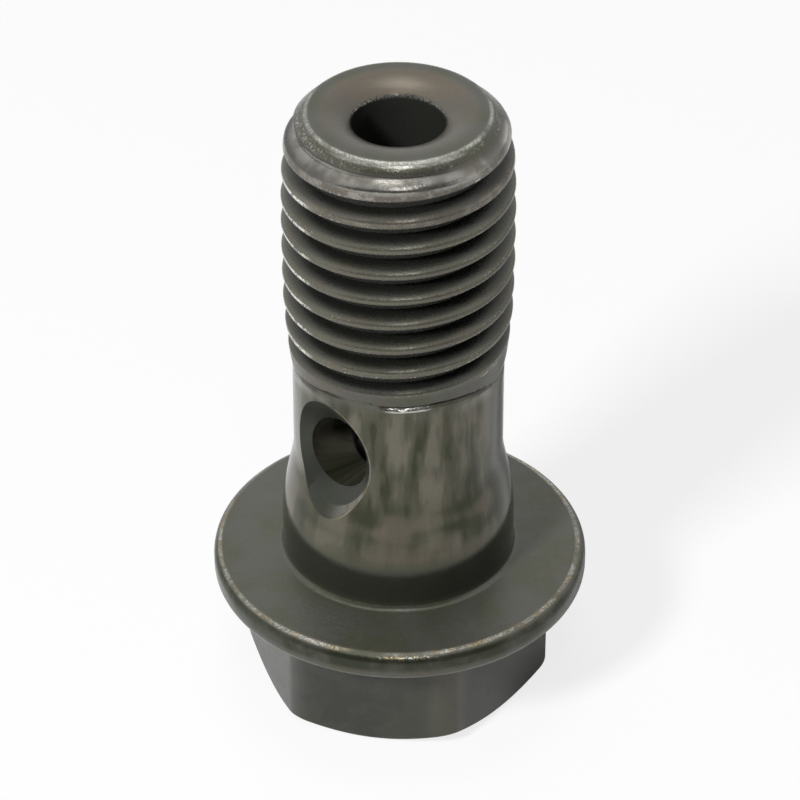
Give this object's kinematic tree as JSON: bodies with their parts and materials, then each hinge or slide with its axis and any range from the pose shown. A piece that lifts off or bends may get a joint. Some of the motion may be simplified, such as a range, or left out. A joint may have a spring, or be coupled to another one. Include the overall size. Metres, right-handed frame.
{
  "type": "banjo bolt",
  "caption": "Hollow hexagon-head banjo bolt with a round seat flange, a locating collar, a cross-drilled waist and a right-hand external thread.",
  "frame": {"origin": "middle of the hexagon head's base, on the bolt's axis", "axes": "+Z along the bolt's axis from the head's base to the threaded end; the open side of the cross hole that shows in front faces about 42 degrees from -Y towards -X"},
  "size_m": [0.0164, 0.0164, 0.029],
  "materials": {
    "phosphated_steel": "satin dark olive-grey phosphate coating, rubbed lighter on the thread crests and edges"
  },
  "bodies": {
    "root": {"banjo_bolt": "phosphated_steel"}
  },
  "joints": []
}
